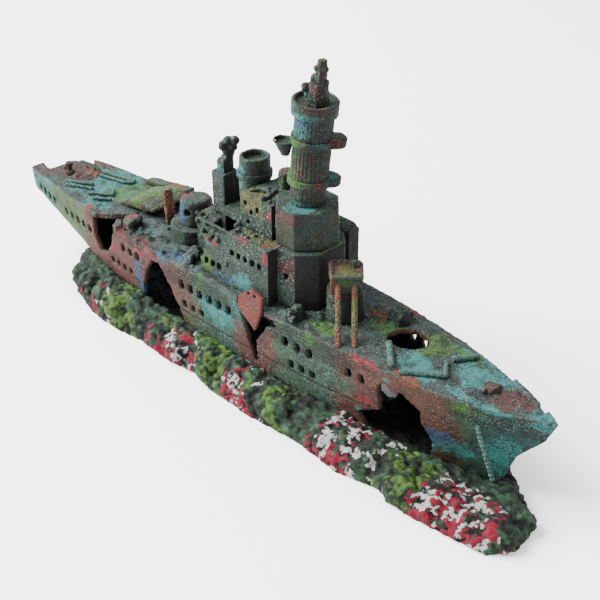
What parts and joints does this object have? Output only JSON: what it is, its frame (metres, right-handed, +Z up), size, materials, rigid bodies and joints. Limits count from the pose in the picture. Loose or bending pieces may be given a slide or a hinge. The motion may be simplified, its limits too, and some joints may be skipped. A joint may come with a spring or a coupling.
{
  "type": "bubbling aquarium ornament",
  "caption": "Sunken warship aquarium ornament of cast resin on a hollowed reef base, with swim-through breaches and a hidden air stone fed by a rear hose spigot.",
  "frame": {"origin": "on the tank floor, under the middle of the ornament's overall box", "axes": "+X towards the bow, +Y to port, +Z up"},
  "size_m": [0.334, 0.08, 0.1527],
  "materials": {
    "reef_rock": "cast resin rock, painted dark green with red and white coral dabs, matte",
    "hull_paint": "cast resin, camouflage paint over planking, dry-brushed verdigris, matte",
    "red_plate": "cast resin, rust red paint, matte",
    "deck_paint": "cast resin, grey-mauve paint with verdigris dry-brush, matte",
    "verdigris_rail": "cast resin, verdigris paint, matte",
    "moss_paint": "cast resin, moss green and olive paint, matte",
    "house_paint": "cast resin, dark grey-green paint with pale speckle, matte",
    "tower_paint": "cast resin, dark slate paint with green and red dry-brush, matte",
    "turret_paint": "cast resin, olive paint with rusty rim, matte",
    "barrel_paint": "cast resin, rust orange and green paint, matte",
    "clear_tube": "clear rigid plastic",
    "grommet_rubber": "black rubber, matte",
    "stone_grit": "sintered mineral grit, rough"
  },
  "bodies": {
    "ornament": {"aft_deckhouse": "house_paint", "aft_platform": "house_paint", "aft_turret": "house_paint", "anchor_chain": "verdigris_rail", "bow_bulwark": "hull_paint", "breakwater": "verdigris_rail", "bridge_house": "house_paint", "broken_director": "tower_paint", "broken_mast": "house_paint", "capstan": "red_plate", "capstan_fore": "deck_paint", "deck_mound": "moss_paint", "deckhouse": "house_paint", "fallen_beams": "moss_paint", "feed_tube": "clear_tube", "fore_barbette": "turret_paint", "fore_turret": "turret_paint", "foredeck": "deck_paint", "foredeck_frame": "verdigris_rail", "funnel_collar": "house_paint", "gun_barrels": "barrel_paint", "hull_aft_port": "hull_paint", "hull_aft_starboard": "hull_paint", "hull_bow_port": "hull_paint", "hull_bow_starboard": "hull_paint", "hull_break_plate": "red_plate", "hull_mid_port": "hull_paint", "hull_mid_starboard": "hull_paint", "inlet_grommet": "grommet_rubber", "inlet_spigot": "clear_tube", "leaning_slab": "moss_paint", "main_deck": "deck_paint", "port_house": "house_paint", "quarterdeck": "deck_paint", "reef_base": "reef_rock", "roof_drum": "house_paint", "round_funnel": "house_paint", "spire": "tower_paint", "square_funnel": "house_paint", "stern_rails": "verdigris_rail", "stern_well_floor": "red_plate", "tower_base": "tower_paint", "tower_cap": "tower_paint", "tower_lower_drum": "tower_paint", "tower_lower_gallery": "tower_paint", "tower_middle_drum": "tower_paint", "tower_plinth": "house_paint", "tower_side_tub": "tower_paint", "tower_upper_drum": "tower_paint", "tower_upper_gallery": "tower_paint", "tube_saddle": "clear_tube", "turret_sight": "turret_paint", "wreckage_aft": "moss_paint", "wreckage_arch": "moss_paint", "wreckage_bow_house": "moss_paint", "wreckage_fore": "moss_paint", "wreckage_port": "moss_paint"},
    "air_stone": {"air_stone": "stone_grit", "stone_nipple": "clear_tube"}
  },
  "joints": [
    {"name": "stone_pull_off", "type": "slide", "parent": "ornament", "child": "air_stone", "axis": [1, 0, 0], "range_m": [0, 0.008]}
  ]
}
